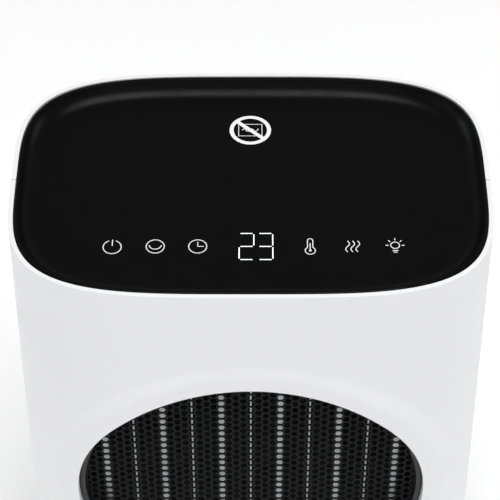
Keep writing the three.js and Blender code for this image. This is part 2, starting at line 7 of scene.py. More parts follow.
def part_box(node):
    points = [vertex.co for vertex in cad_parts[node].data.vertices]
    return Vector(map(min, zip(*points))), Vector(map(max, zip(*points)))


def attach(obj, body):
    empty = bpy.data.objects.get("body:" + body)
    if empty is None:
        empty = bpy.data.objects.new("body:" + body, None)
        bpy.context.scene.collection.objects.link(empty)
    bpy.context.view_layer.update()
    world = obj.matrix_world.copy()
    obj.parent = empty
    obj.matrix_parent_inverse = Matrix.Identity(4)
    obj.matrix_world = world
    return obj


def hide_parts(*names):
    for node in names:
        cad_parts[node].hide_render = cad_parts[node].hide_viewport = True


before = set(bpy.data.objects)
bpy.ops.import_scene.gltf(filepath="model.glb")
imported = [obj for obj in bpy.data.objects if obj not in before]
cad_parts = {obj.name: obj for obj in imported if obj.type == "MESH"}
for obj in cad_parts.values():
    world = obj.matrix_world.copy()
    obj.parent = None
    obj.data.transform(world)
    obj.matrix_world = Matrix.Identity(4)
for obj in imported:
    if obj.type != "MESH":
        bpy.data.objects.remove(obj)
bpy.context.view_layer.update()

mm = 0.001
weld = 1e-6  # points closer than this are one point
squareness = 3.8  # exponent of the body's superellipse plan

shellLow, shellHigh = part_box("rear_shell")
panelLow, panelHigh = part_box("touch_panel")
guardLow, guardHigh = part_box("outlet_guard")
rimHeight = shellHigh.z
bodyBottom = shellLow.z
sideFlare = 0.166  # share of the width by which the sides spread for each metre down


# How much wider the body is at a height than at its rim
def widened(height):
    return 1 + sideFlare * (rimHeight - height)


bodyHalf = (shellHigh.x / widened(bodyBottom), shellHigh.y)  # at the rim
panelHalf = (panelHigh.x, panelHigh.y)
outletHeight = (guardLow.z + guardHigh.z) / 2


# An sRGB hex colour as linear light
def linear(hexColour):
    channels = [int(hexColour[i:i + 2], 16) / 255 for i in (1, 3, 5)]
    return (*[c / 12.92 if c <= 0.04045 else ((c + 0.055) / 1.055) ** 2.4 for c in channels], 1)


def addNode(tree, kind, values=None, links=None, **settings):
    node = tree.nodes.new(kind)
    for name, value in settings.items():
        setattr(node, name, value)
    for socket, value in (values or {}).items():
        node.inputs[socket].default_value = value
    for socket, source in (links or {}).items():
        tree.links.new(source, node.inputs[socket])
    return node


# An empty material with its shader, and the place on the object that its patterns read
def startMaterial(name, shaderValues):
    material = bpy.data.materials.new(name)
    material.use_nodes = True
    tree = material.node_tree
    tree.nodes.clear()
    shader = addNode(tree, "ShaderNodeBsdfPrincipled", shaderValues)
    addNode(tree, "ShaderNodeOutputMaterial", links={"Surface": shader.outputs[0]})
    place = addNode(tree, "ShaderNodeTexCoord").outputs["Object"]
    return material, tree, shader, place


# Colour drifts softly between two shades, roughness wanders, and a fine grain stands up from
# the surface
def grained(name, look):
    shaderValues = {"Metallic": look.get("metallic", 0.0), "IOR": look.get("ior", 1.5)}
    shaderValues.update(look.get("shader", {}))
    material, tree, shader, place = startMaterial(name, shaderValues)
    mapped = addNode(
        tree, "ShaderNodeMapping", {"Scale": look.get("stretch", (1, 1, 1))},
        {"Vector": place}).outputs[0]
    driftScale = 1 / (look["driftSize"] * mm)
    drift = addNode(
        tree, "ShaderNodeTexNoise", {"Scale": driftScale, "Detail": 3}, {"Vector": place})
    shade = addNode(
        tree, "ShaderNodeMix", {6: linear(look["light"]), 7: linear(look["dark"])},
        {0: drift.outputs[0]}, data_type="RGBA")
    grainScale = 1 / (look["grainSize"] * mm)
    grain = addNode(
        tree, "ShaderNodeTexNoise", {"Scale": grainScale, "Detail": 2},
        {"Vector": mapped}).outputs[0]
    low, high = look["roughness"]
    rough = addNode(
        tree, "ShaderNodeMapRange",
        {"From Min": 0.3, "From Max": 0.7, "To Min": low, "To Max": high},
        {"Value": grain})
    strength, depth = look.get("strength", 0.3), look["grainDepth"] * mm
    bump = addNode(
        tree, "ShaderNodeBump", {"Strength": strength, "Distance": depth}, {"Height": grain})
    tree.links.new(shade.outputs[2], shader.inputs["Base Color"])
    tree.links.new(rough.outputs[0], shader.inputs["Roughness"])
    tree.links.new(bump.outputs[0], shader.inputs["Normal"])
    return material


# Sizes and depths are in millimetres. A metal keeps the default IOR.
whiteAbs = grained("satin moulded ABS, white", {  # fine spark texture: a soft sheen
    "light": "#f2f2f4", "dark": "#ededef", "driftSize": 60, "grainSize": 0.9, "grainDepth": 0.01,
    "roughness": (0.36, 0.46), "strength": 0.15, "ior": 1.54})
glossBlack = grained("gloss moulded PMMA, black", {  # polished tool: deep black
    "light": "#060607", "dark": "#040405", "driftSize": 40, "grainSize": 8, "grainDepth": 0.004,
    "roughness": (0.3, 0.38), "strength": 0.1, "ior": 1.49, "shader": {"Specular IOR Level": 0.1}})
blackAbs = grained("textured moulded ABS, black", {  # eroded tool texture: even and matt
    "light": "#1c1c1e", "dark": "#151517", "driftSize": 30, "grainSize": 0.6, "grainDepth": 0.03,
    "roughness": (0.48, 0.62), "strength": 0.3, "ior": 1.54})
powderSteel = grained("powder-coated steel, black", {  # slight orange peel with a low sheen
    "light": "#060606", "dark": "#030303", "driftSize": 20, "grainSize": 0.5, "grainDepth": 0.01,
    "roughness": (0.38, 0.5), "strength": 0.2, "shader": {"Specular IOR Level": 0.1}})
finStripShadedDark = grained("rolled aluminium fin strip, painted dark for shade", {  # thin strip, coloured darker than bare aluminium as painted shade for its place behind the guard
    "light": "#8d8f90", "dark": "#6d6f70", "driftSize": 9, "grainSize": 0.5, "grainDepth": 0.01,
    "roughness": (0.4, 0.55), "strength": 0.2, "metallic": 1.0, "stretch": (4, 4, 0.2)})
rolledAluminium = grained("rolled aluminium", {  # bright strip with faint rolling lines
    "light": "#d9dbdd", "dark": "#c2c4c7", "driftSize": 9, "grainSize": 0.5, "grainDepth": 0.01,
    "roughness": (0.3, 0.42), "strength": 0.2, "metallic": 1.0, "stretch": (4, 4, 0.2)})
zincSteel = grained("zinc-plated steel", {  # cool grey with a cloudy spangle
    "light": "#c4c7ca", "dark": "#a9adb1", "driftSize": 4, "grainSize": 0.8, "grainDepth": 0.01,
    "roughness": (0.28, 0.45), "strength": 0.2, "metallic": 1.0})
heatPlastic = grained("glass-filled PPS, cream", {  # chalky, with faint fibre flow
    "light": "#d8d0bb", "dark": "#c8bfa6", "driftSize": 7, "grainSize": 0.7, "grainDepth": 0.03,
    "roughness": (0.55, 0.7), "ior": 1.6})
acetal = grained("natural acetal", {  # waxy white, slightly see-through at the edges
    "light": "#eceae2", "dark": "#e2dfd5", "driftSize": 12, "grainSize": 0.8, "grainDepth": 0.01,
    "roughness": (0.3, 0.42), "ior": 1.48,
    "shader": {"Subsurface Weight": 0.1, "Subsurface Scale": 0.002}})
rubber = grained("moulded rubber, black", {  # dull and slightly dusty
    "light": "#242424", "dark": "#191919", "driftSize": 6, "grainSize": 0.5, "grainDepth": 0.04,
    "roughness": (0.75, 0.9), "strength": 0.4, "ior": 1.52})
solderMask = grained("green solder mask on glass epoxy", {  # glossy lacquer over a woven board
    "light": "#1f6b3d", "dark": "#17552f", "driftSize": 5, "grainSize": 0.9, "grainDepth": 0.03,
    "roughness": (0.2, 0.35), "ior": 1.55})
siliconeLead = grained("silicone-sleeved lead, red", {  # soft matt sleeve
    "light": "#a8322b", "dark": "#912721", "driftSize": 8, "grainSize": 0.5, "grainDepth": 0.02,
    "roughness": (0.5, 0.6), "ior": 1.41})
whiteInkPaintedGlow = grained("screen-printed ink, white, painted glow", {  # thin opaque ink, slightly dull, with a faint painted glow from its emission
    "light": "#ececec", "dark": "#e0e0e0", "driftSize": 3, "grainSize": 0.4, "grainDepth": 0.004,
    "roughness": (0.45, 0.55),
    "shader": {"Emission Color": linear("#ffffff"), "Emission Strength": 0.12}})
litSegment = grained("lit display segment", {  # white LED through a diffuser
    "light": "#f6f8fa", "dark": "#eef1f4", "driftSize": 3, "grainSize": 0.5, "grainDepth": 0.002,
    "roughness": (0.4, 0.5),
    "shader": {"Emission Color": linear("#f4f8ff"), "Emission Strength": 0.55}})


# Fine bands that stand up from the surface, along each of the named directions. The low places
# between bands take the dark colour: dark joints on the lamination, painted shade on the winding
# and the net.
def banded(name, look):
    material, tree, shader, place = startMaterial(name, look["shader"])
    scale = 0.314 / (look["spacing"] * mm)  # a wave texture of scale 1 repeats every 0.314 m
    height = None
    for direction in look["directions"]:
        bands = addNode(
            tree, "ShaderNodeTexWave", {"Scale": scale, "Distortion": look["waver"]},
            {"Vector": place}, bands_direction=direction).outputs[1]
        height = bands if height is None else addNode(
            tree, "ShaderNodeMath", links={0: height, 1: bands}, operation="MAXIMUM").outputs[0]
    shade = addNode(
        tree, "ShaderNodeMix", {6: linear(look["dark"]), 7: linear(look["light"])},
        {0: height}, data_type="RGBA")
    low, high = look["roughness"]
    rough = addNode(tree, "ShaderNodeMapRange", {"To Min": high, "To Max": low}, {"Value": height})
    bump = addNode(
        tree, "ShaderNodeBump", {"Strength": 0.6, "Distance": look["depth"] * mm},
        {"Height": height})
    tree.links.new(shade.outputs[2], shader.inputs["Base Color"])
    tree.links.new(rough.outputs[0], shader.inputs["Roughness"])
    tree.links.new(bump.outputs[0], shader.inputs["Normal"])
    return material


laminatedSteel = banded("stacked lamination steel", {  # sheets' edges, drawn 1 mm apart to show
    "light": "#8d8f92", "dark": "#4c4e51", "spacing": 1.0, "depth": 0.08, "waver": 0.2,
    "directions": ["Y"], "roughness": (0.35, 0.55), "shader": {"Metallic": 1.0}})
enamelledCopper = banded("enamelled copper winding", {  # varnished turns lying side by side, the grooves between them painted dark as shade
    "light": "#c4703a", "dark": "#6e3418", "spacing": 0.8, "depth": 0.2, "waver": 0.6,
    "directions": ["X"], "roughness": (0.22, 0.4), "shader": {"Metallic": 1.0}})
nylonNet = banded("woven nylon net, black", {  # crossed threads, the open squares between them painted near-black as the shade seen through them
    "light": "#2a2a2c", "dark": "#060607", "spacing": 1.4, "depth": 0.2, "waver": 0.1,
    "directions": ["X", "Z"], "roughness": (0.5, 0.8), "shader": {"IOR": 1.53}})


# Bevels the edges whose faces turn by more than the angle
def bevelSharp(bm, width, segments=2, angle=40):
    bm.normal_update()
    sharp = [
        edge for edge in bm.edges
        if len(edge.link_faces) == 2 and edge.calc_face_angle(0) > radians(angle)]
    bmesh.ops.bevel(
        bm, geom=sharp, offset=width, offset_type="OFFSET", affect="EDGES", segments=segments,
        profile=0.5, material=-1, clamp_overlap=True)
    return bm


def blockBetween(low, high):
    bm = bmesh.new()
    low, high = Vector(low), Vector(high)
    size = Matrix.Diagonal((*(high - low), 1))
    bmesh.ops.create_cube(bm, size=1, matrix=Matrix.Translation((low + high) / 2) @ size)
    return bm


# Extrudes the edges once, and gives back the new points and the new edges between them
def grownRing(bm, edges):
    grown = bmesh.ops.extrude_edge_only(bm, edges=edges)["geom"]
    ring = {item for item in grown if isinstance(item, bmesh.types.BMVert)}
    return ring, [
        item for item in grown
        if isinstance(item, bmesh.types.BMEdge) and item.verts[0] in ring and item.verts[1] in ring]


# A ring of points grown level by level. place(turn, level) says where each point of a level goes.
def lofted(levels, place, segments, closed=False):
    bm = bmesh.new()
    turnLayer = bm.verts.layers.float.new("turn")
    bmesh.ops.create_circle(bm, segments=segments, radius=1)
    for vert in bm.verts:
        vert[turnLayer] = atan2(vert.co.y, vert.co.x)
    ring, edges = list(bm.verts), list(bm.edges)
    for vert in ring:
        vert.co = place(vert[turnLayer], levels[0])
    for level in levels[1:] + (levels[:1] if closed else []):
        ring, edges = grownRing(bm, edges)
        for vert in ring:
            vert.co = place(vert[turnLayer], level)
    bmesh.ops.remove_doubles(bm, verts=bm.verts, dist=weld)
    if not closed:
        bmesh.ops.holes_fill(bm, edges=[e for e in bm.edges if e.is_boundary], sides=0)
    bmesh.ops.recalc_face_normals(bm, faces=bm.faces)
    return bm


# A turned piece: profile points are (radius, distance along the axis), axis is "Z" or "Y"
def turned(profile, centre=(0, 0), axis="Z", segments=96, closed=True):
    def place(turn, level):
        radius, along = level
        across, up = centre[0] + radius * cos(turn), centre[1] + radius * sin(turn)
        return Vector((across, up, along)) if axis == "Z" else Vector((across, along, up))
    return lofted(profile, place, segments, closed)


def linked(name, data):
    item = bpy.data.objects.new(name, data)
    bpy.context.scene.collection.objects.link(item)
    return item


def meshOf(name, bm):
    mesh = bpy.data.meshes.new(name)
    bm.to_mesh(mesh)
    bm.free()
    return mesh


# The mesh with one modifier applied
def modified(bm, kind, **settings):
    work = linked("work", meshOf("work", bm))
    modifier = work.modifiers.new(kind, kind)
    for name, value in settings.items():
        setattr(modifier, name, value)
    done = work.evaluated_get(bpy.context.evaluated_depsgraph_get())
    result = bmesh.new()
    result.from_mesh(done.to_mesh())
    done.to_mesh_clear()
    bpy.data.meshes.remove(work.data)
    return result


def cutBy(bm, *cutters):
    for cutter in cutters:
        tool = linked("cutter", meshOf("cutter", cutter))
        bm = modified(bm, "BOOLEAN", operation="DIFFERENCE", solver="EXACT", object=tool)
        bpy.data.meshes.remove(tool.data)
    return bm


def thickened(bm, thickness):
    return modified(bm, "SOLIDIFY", thickness=thickness, offset=-1, use_even_offset=True)


def joined(*parts):
    whole = bmesh.new()
    for part in parts:
        mesh = meshOf("part", part)
        whole.from_mesh(mesh)
        bpy.data.meshes.remove(mesh)
    return whole


def middle(low, high):
    return (low + high) / 2


# Turns a mesh into a finished piece that rides its body
def addPiece(name, bm, body, material, slotName, replaced=(), sharpAngle=35):
    mesh = meshOf(name, bm)
    mesh.materials.append(material)
    for face in mesh.polygons:
        face.use_smooth = True
    mesh.set_sharp_from_angle(angle=radians(sharpAngle))
    piece = linked(name, mesh)
    piece.modifiers.new("evenNormals", "WEIGHTED_NORMAL").keep_sharp = True
    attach(piece, body)
    if replaced:
        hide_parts(*replaced)
    return piece


# A point of a superellipse plan, drawn in by an inset
def outlinePoint(turn, half=bodyHalf, inset=0.0):
    across, along = cos(turn), sin(turn)
    reach = (abs(across) ** squareness + abs(along) ** squareness) ** (-1 / squareness)
    x, y = across * reach, along * reach
    steepX = copysign(abs(x) ** (squareness - 1), x) / half[0]
    steepY = copysign(abs(y) ** (squareness - 1), y) / half[1]
    return Vector((x * half[0], y * half[1], 0)) - Vector((steepX, steepY, 0)).normalized() * inset


# How far the wall stands from the middle plane at x and a height
def wallDepth(x, height):
    across = abs(x / bodyHalf[0] / widened(height))
    return bodyHalf[1] * (1 - across ** squareness) ** (1 / squareness)


def wallPoint(turn, height):
    point = outlinePoint(turn)
    return Vector((point.x * widened(height), point.y, height))


cameraValues = {
    "place": (-0.33 * mm, -548.2 * mm, rimHeight + 546.4 * mm),
    "tilt": 43.1,  # degrees up from straight down
    "lens": 145.7,
    "sensor": 36,
}
camera = linked("camera", bpy.data.cameras.new("camera"))
camera.location = cameraValues["place"]
camera.rotation_euler = (radians(cameraValues["tilt"]), 0, 0)
camera.data.lens = cameraValues["lens"]
camera.data.sensor_width = cameraValues["sensor"]
bpy.context.scene.camera = camera
print("camera placed")


frontValues = {
    "spokes": 480,
    "opening": 70 * mm,
    "seat": guardHigh.y + 1.6 * mm,  # where the throat ends, behind the guard
    "throatStep": 1.2 * mm,
    "edgeRound": 0.9 * mm,
    "edgeAngles": (90, 67, 45, 22, 0),
    "collarCrest": 77 * mm,
    "collarFoot": 84.5 * mm,
    "collarRise": (1.0 * mm, 2.2 * mm),  # over the opening, and towards its sides
    "collarSide": 50 * mm,
    "faceRadii": (72, 73.5, 75, 76, 77, 78, 79, 80, 81, 82, 83, 84.5, 86),  # millimetres
    "blendStart": 86 * mm,  # round the opening up to here, then drawn out to the body's outline
    "blendSteps": 18,
    "patchHalfHeight": 92 * mm,
    "stripSteps": 3,  # levels from there to the rim, and to the bottom
    "seamHalf": 0.15 * mm,
    "wall": 1.8 * mm,
    "edge": 0.35 * mm,
}


# A point on the wall or its collar, at a turn and radius round the outlet
def frontFace(turn, radius, out=0.0):
    values = frontValues
    climb = (values["collarFoot"] - radius) / (values["collarFoot"] - values["collarCrest"])
    climb = min(max(climb, 0), 1)
    over, side = values["collarRise"]
    x, height = radius * cos(turn), outletHeight + radius * sin(turn)
    rise = over + (side - over) * min(abs(x) / values["collarSide"], 1) ** 2
    return Vector((x, out - wallDepth(x, height) - rise * climb * climb * (3 - 2 * climb), height))


def placeFront(turn, level):
    kind, amount = level
    values = frontValues
    across, up = cos(turn), sin(turn)
    if kind == "throat":
        return Vector((values["opening"] * across, amount, outletHeight + values["opening"] * up))
    if kind == "edge":
        radius = values["opening"] + values["edgeRound"] * (1 - sin(amount))
        return frontFace(turn, radius, values["edgeRound"] * (1 - cos(amount)))
    if kind == "face":
        return frontFace(turn, amount)
    start = frontFace(turn, values["blendStart"])
    startTurn = atan2(start.y / bodyHalf[1], start.x / bodyHalf[0] / widened(start.z))
    reach = max(abs(across), abs(up))
    sideTurn = pi / 2 - values["seamHalf"] / bodyHalf[1]
    endTurn = -pi / 2 + sideTurn * across / reach
    endHeight = outletHeight + values["patchHalfHeight"] * up / reach
    height = start.z + (endHeight - start.z) * amount
    return wallPoint(startTurn + (endTurn - startTurn) * amount, height)


# Carries the wall on from the patch's open edge, level by level, to an end height
def growStrip(bm, startHeight, endHeight, steps):
    edges = [
        edge for edge in bm.edges
        if edge.is_boundary and all(abs(vert.co.z - startHeight) < weld for vert in edge.verts)]
    for step in range(1, steps + 1):
        height = startHeight + (endHeight - startHeight) * step / steps
        ring, edges = grownRing(bm, edges)
        for vert in ring:
            vert.co.x *= widened(height) / widened(vert.co.z)
            vert.co.z = height


def makeFrontShell():
    values = frontValues
    levels = [("throat", values["seat"]), ("throat", values["seat"] - values["throatStep"])]
    levels += [("edge", radians(angle)) for angle in values["edgeAngles"]]
    levels += [("face", radius * mm) for radius in values["faceRadii"]]
    steps = values["blendSteps"]
    levels += [("blend", (step + 1) / steps) for step in range(steps)]
    bm = lofted(levels, placeFront, values["spokes"])
    caps = [face for face in bm.faces if len(face.verts) > 4]
    bmesh.ops.delete(bm, geom=caps, context="FACES_ONLY")
    growStrip(bm, outletHeight + values["patchHalfHeight"], rimHeight, values["stripSteps"])
    growStrip(bm, outletHeight - values["patchHalfHeight"], bodyBottom, values["stripSteps"])
    bmesh.ops.recalc_face_normals(bm, faces=bm.faces)
    bm.normal_update()
    front = min(bm.faces, key=lambda face: face.calc_center_median().y)
    if front.normal.y > 0:
        bmesh.ops.reverse_faces(bm, faces=bm.faces)
    bm = thickened(bm, values["wall"])
    return bevelSharp(bm, values["edge"], angle=50)


addPiece("frontShell", makeFrontShell(), "heater_body", whiteAbs, "white_abs", ["front_shell"])
print("front shell made")

gripLow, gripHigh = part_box("hand_grip")
coverLow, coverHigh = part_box("filter_cover")
housingLow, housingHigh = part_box("switch_housing")
glandLow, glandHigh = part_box("cord_gland")
screwNames = [f"shell_screw_{number}" for number in (1, 2, 3, 4)]
gripValues = {
    "half": (42 * mm, 11 * mm),  # the hole in the shell
    "roundness": 7,
    "flange": (  # millimetres inward from the hole's edge, and out from the wall
        (-1.2, 0.05), (-1.2, 0.45), (-0.9, 0.75), (0.2, 0.75), (0.7, 0.25), (0.8, -0.6)),
    "cup": (  # millimetres inward, and out from the cup's floor
        (0.8, 12), (1.2, 3.5), (2.2, 1), (4.5, 0)),
    "depth": 22 * mm,
    "wall": 1.6 * mm,
}
rearValues = {
    "steps": 180,
    "rows": 48,
    "wall": 1.8 * mm,
    "edge": 0.3 * mm,
    "cut": (30 * mm, 90 * mm),  # the openings' cutters run between these depths
    "coverGap": 0.3 * mm,
    "counterbore": 3.6 * mm,
    "glandHole": 7.3 * mm,
    "rockerHole": (10.8 * mm, 7.8 * mm),
}


# A rounded slot's edge in X and Z, drawn as a squarish superellipse
def slotPoint(turn, half, roundness):
    across, up = cos(turn), sin(turn)
    reach = (abs(across) ** roundness + abs(up) ** roundness) ** (-1 / roundness)
    return half[0] * across * reach, half[1] * up * reach


def makeRearShell():
    values = rearValues
    bm = bmesh.new()
    bmesh.ops.create_grid(bm, x_segments=values["steps"], y_segments=values["rows"], size=1)
    seamTurn = frontValues["seamHalf"] / bodyHalf[1]
    for vert in bm.verts:
        turn = seamTurn + (pi - 2 * seamTurn) * (vert.co.x + 1) / 2
        height = bodyBottom + (rimHeight - bodyBottom) * (vert.co.y + 1) / 2
        vert.co = wallPoint(turn, height)
    bm.normal_update()
    back = max(bm.faces, key=lambda face: face.calc_center_median().y)
    if back.normal.y < 0:
        bmesh.ops.reverse_faces(bm, faces=bm.faces)
    bm = thickened(bm, values["wall"])
    near, far = values["cut"]
    gripCentre = middle(gripLow, gripHigh)

    def placeGripHole(turn, depth):
        across, up = slotPoint(turn, gripValues["half"], gripValues["roundness"])
        return Vector((across, depth, gripCentre.z + up))

    def boxCutter(low, high):
        return blockBetween((low[0], near, low[1]), (high[0], far, high[1]))

    def roundCutter(spot, radius, segments):
        wall = [(radius, near), (radius, far)]
        return turned(wall, (spot.x, spot.z), "Y", segments, closed=False)

    gap = values["coverGap"]
    housing = middle(housingLow, housingHigh)
    wide, tall = values["rockerHole"]
    cutters = [
        lofted([near, far], placeGripHole, 64),
        boxCutter((coverLow.x - gap, coverLow.z - gap), (coverHigh.x + gap, coverHigh.z + gap)),
        boxCutter((housing.x - wide, housing.z - tall), (housing.x + wide, housing.z + tall)),
        roundCutter(middle(glandLow, glandHigh), values["glandHole"], 48),
    ]
    for name in screwNames:
        cutters.append(roundCutter(middle(*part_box(name)), values["counterbore"], 32))
    return bevelSharp(cutBy(bm, *cutters), values["edge"], angle=50)


addPiece("rearShell", makeRearShell(), "heater_body", whiteAbs, "white_abs", ["rear_shell"])
print("rear shell made")


panelValues = {
    "segments": 320,
    "lip": 1.4 * mm,
    "lipRound": 0.5 * mm,
    "lipAngles": (0, 30, 60, 90),
    "lipFall": (0.25 * mm, 0.12 * mm),  # the lip's inner edge, across and down
    "dish": (6.9 * mm, 5.5 * mm),  # the hollowed side's width and depth
    "dishStart": 24,  # degrees round its curve
    "dishSteps": 12,
    "floorRings": (0.5 * mm, 4 * mm),  # in from the hollowed side
    "skirt": 3.5 * mm,
    "underside": 7.5 * mm,
}
dishFloor = panelHigh.z - panelValues["dish"][1]


# Levels are (inset, height), from the middle of the underside round to the middle of the dish
def makeTouchPanel():
    values = panelValues
    top, low = panelHigh.z, panelLow.z
    lip, lipRound = values["lip"], values["lipRound"]
    fallAcross, fallDown = values["lipFall"]
    wide, deep = values["dish"]
    levels = [(values["skirt"], top - values["underside"]), (values["skirt"], low), (0, low)]
    for angle in values["lipAngles"]:
        turn = radians(angle)
        levels.append((lipRound * (1 - cos(turn)), top - lipRound * (1 - sin(turn))))
    levels += [(lip - fallAcross, top), (lip, top - fallDown)]
    start = radians(values["dishStart"])
    for step in range(1, values["dishSteps"] + 1):
        turn = start + (pi / 2 - start) * step / values["dishSteps"]
        across = (cos(start) - cos(turn)) / cos(start)
        down = (sin(turn) - sin(start)) / (1 - sin(start))
        levels.append((lip + wide * across, top - deep * down))
    levels += [(lip + wide + further, dishFloor) for further in values["floorRings"]]

    def place(turn, level):
        point = outlinePoint(turn, panelHalf, level[0])
        point.z = level[1]
        return point

    return lofted(levels, place, values["segments"])


touchPanel = makeTouchPanel()
addPiece("touchPanel", touchPanel, "heater_body", glossBlack, "black_panel", ["touch_panel"], 30)

inkValues = {
    "row": -29.9 * mm,  # the icons' and digits' place in Y
    "thickness": 0.05 * mm,  # above the dish's floor
    "stroke": 0.38 * mm,
}


# Points in millimetres round a middle, angles in degrees
def arc(x, y, radius, start, end, steps):
    angles = [radians(start + (end - start) * step / steps) for step in range(steps + 1)]
    return [(x + radius * cos(angle), y + radius * sin(angle)) for angle in angles]


# Raised ink along strokes. Each stroke is (points, closed).
def inkMark(name, centre, strokes, stroke, material=whiteInkPaintedGlow):
    curve = bpy.data.curves.new(name, "CURVE")
    curve.dimensions = "3D"
    curve.bevel_depth = stroke / 2
    curve.bevel_resolution = 2
    curve.use_fill_caps = True
    for points, closed in strokes:
        spline = curve.splines.new("POLY")
        spline.points.add(len(points) - 1)
        spline.use_cyclic_u = closed
        for point, (x, y) in zip(spline.points, points):
            point.co = (x * mm, y * mm, 0, 1)
    work = linked("work", curve)
    done = work.evaluated_get(bpy.context.evaluated_depsgraph_get())
    bm = bmesh.new()
    bm.from_mesh(done.to_mesh())
    done.to_mesh_clear()
    bpy.data.curves.remove(curve)
    flat = 2 * inkValues["thickness"] / stroke
    bmesh.ops.scale(bm, vec=(1, 1, flat), verts=bm.verts)
    bmesh.ops.translate(bm, vec=(centre[0], centre[1], dishFloor), verts=bm.verts)
    return addPiece(name, bm, "heater_body", material, "black_panel")


ring = (arc(0, 0, 3.4, 0, 345, 23), True)
sleeve = arc(0, 3.0, 1.0, 0, 180, 10) + arc(0, -2.1, 1.9, 122, 418, 20)
mercury = (arc(0, -2.1, 0.35, 0, 330, 11), True)
wave = [(0.75 * sin(2 * pi * step / 12), 2.8 - 5.6 * step / 12) for step in range(13)]
rays = []
for angle in (0, 45, 90, 135, 180):
    x, y = cos(radians(angle)), sin(radians(angle))
    rays.append(([(2.5 * x, 0.6 + 2.5 * y), (3.5 * x, 0.6 + 3.5 * y)], False))
iconStrokes = {  # place in X and strokes, in millimetres
    "iconPower": (-51.9, [(arc(0, -0.3, 3.4, 112, 428, 24), False), ([(0, 3.4), (0, 0.3)], False)]),
    "iconSwing": (-35.8, [ring, (arc(0, 0.9, 2.3, 188, 352, 14), False)]),
    "iconTimer": (-19.9, [ring, ([(0, 2.2), (0, 0), (2.2, 0)], False)]),
    "iconTemperature": (22.2, [(sleeve, True), mercury, ([(0, 1.6), (0, -1.9)], False)]),
    "iconHeat": (38.1, [([(x + shift, y) for x, y in wave], False) for shift in (-1.9, 0, 1.9)]),
    "iconLight": (54.0, [
        (arc(0, 0.6, 1.65, 0, 345, 23), True), *rays,
        ([(-1.1, -2.1), (1.1, -2.1)], False), ([(-0.7, -2.9), (0.7, -2.9)], False)]),
}
for name, (x, strokes) in iconStrokes.items():
    inkMark(name, (x * mm, inkValues["row"]), strokes, inkValues["stroke"])

digitValues = {
    "half": (2.75, 6.7),  # millimetres
    "gap": 0.5,  # millimetres between the segments' ends and the corners
    "centre": 1.9 * mm,
    "apart": 3.55 * mm,  # each figure's middle from the display's
    "stroke": 0.44 * mm,
}


# One seven-segment figure: the named segments are lit
def litDigit(name, centre, segments):
    wide, tall = digitValues["half"]
    gap = digitValues["gap"]
    ends = {
        "top": ((-wide + gap, tall), (wide - gap, tall)),
        "middle": ((-wide + gap, 0), (wide - gap, 0)),
        "bottom": ((-wide + gap, -tall), (wide - gap, -tall)),
        "upperRight": ((wide, tall - gap), (wide, gap)),
        "lowerRight": ((wide, -gap), (wide, -tall + gap)),
        "lowerLeft": ((-wide, -gap), (-wide, -tall + gap)),
    }
    strokes = [(list(ends[segment]), False) for segment in segments]
    inkMark(name, (centre, inkValues["row"]), strokes, digitValues["stroke"], litSegment)


litDigit(
    "displayTens", digitValues["centre"] - digitValues["apart"],
    ["top", "upperRight", "middle", "lowerLeft", "bottom"])
litDigit(
    "displayUnits", digitValues["centre"] + digitValues["apart"],
    ["top", "upperRight", "middle", "lowerRight", "bottom"])

pictogramValues = {
    "place": (-0.2 * mm, 33.2 * mm),
    "ring": 7.4,  # millimetres
    "slash": (7, 137),  # half length in millimetres, and degrees
    "bold": 1.6 * mm,
    "cloth": (4.6, 3.3),  # half width and height, millimetres
    "folds": (9, 0.8, 1.7, 0.9),  # points, step, turn for each step in radians, and height
    "thin": 0.4 * mm,
}
place = pictogramValues["place"]
reach, angle = pictogramValues["slash"]
slash = [(cos(turn) * reach, sin(turn) * reach) for turn in (radians(angle), radians(angle - 180))]
circle = arc(0, 0, pictogramValues["ring"], 0, 354, 59)
inkMark("pictogramRing", place, [(circle, True), (slash, False)], pictogramValues["bold"])
wide, tall = pictogramValues["cloth"]
cloth = [(-wide, -tall), (wide, -tall), (wide, tall), (-wide, tall)]
count, step, turn, high = pictogramValues["folds"]
start = -step * (count - 1) / 2
folds = [(start + step * number, high * sin(turn * number)) for number in range(count)]
inkMark("pictogramCloth", place, [(cloth, True), (folds, False)], pictogramValues["thin"])
print("panel and marks made")


guardValues = {
    "column": 2.91 * mm,  # spacing of the hole columns
    "pitch": 3.78 * mm,  # spacing of the holes in a column
    "strand": 0.98 * mm,
    "edge": 0.18 * mm,
    "rows": 20,  # either side of the middle
    "weld": 0.02 * mm,
    "holeLimit": 67.8 * mm,  # the holes' middles lie inside this radius
    "margin": 66.6 * mm,  # the solid margin starts here
    "marginProud": 0.05 * mm,
    "ringInner": 67.4 * mm,
    "ringEdge": 0.6 * mm,
}


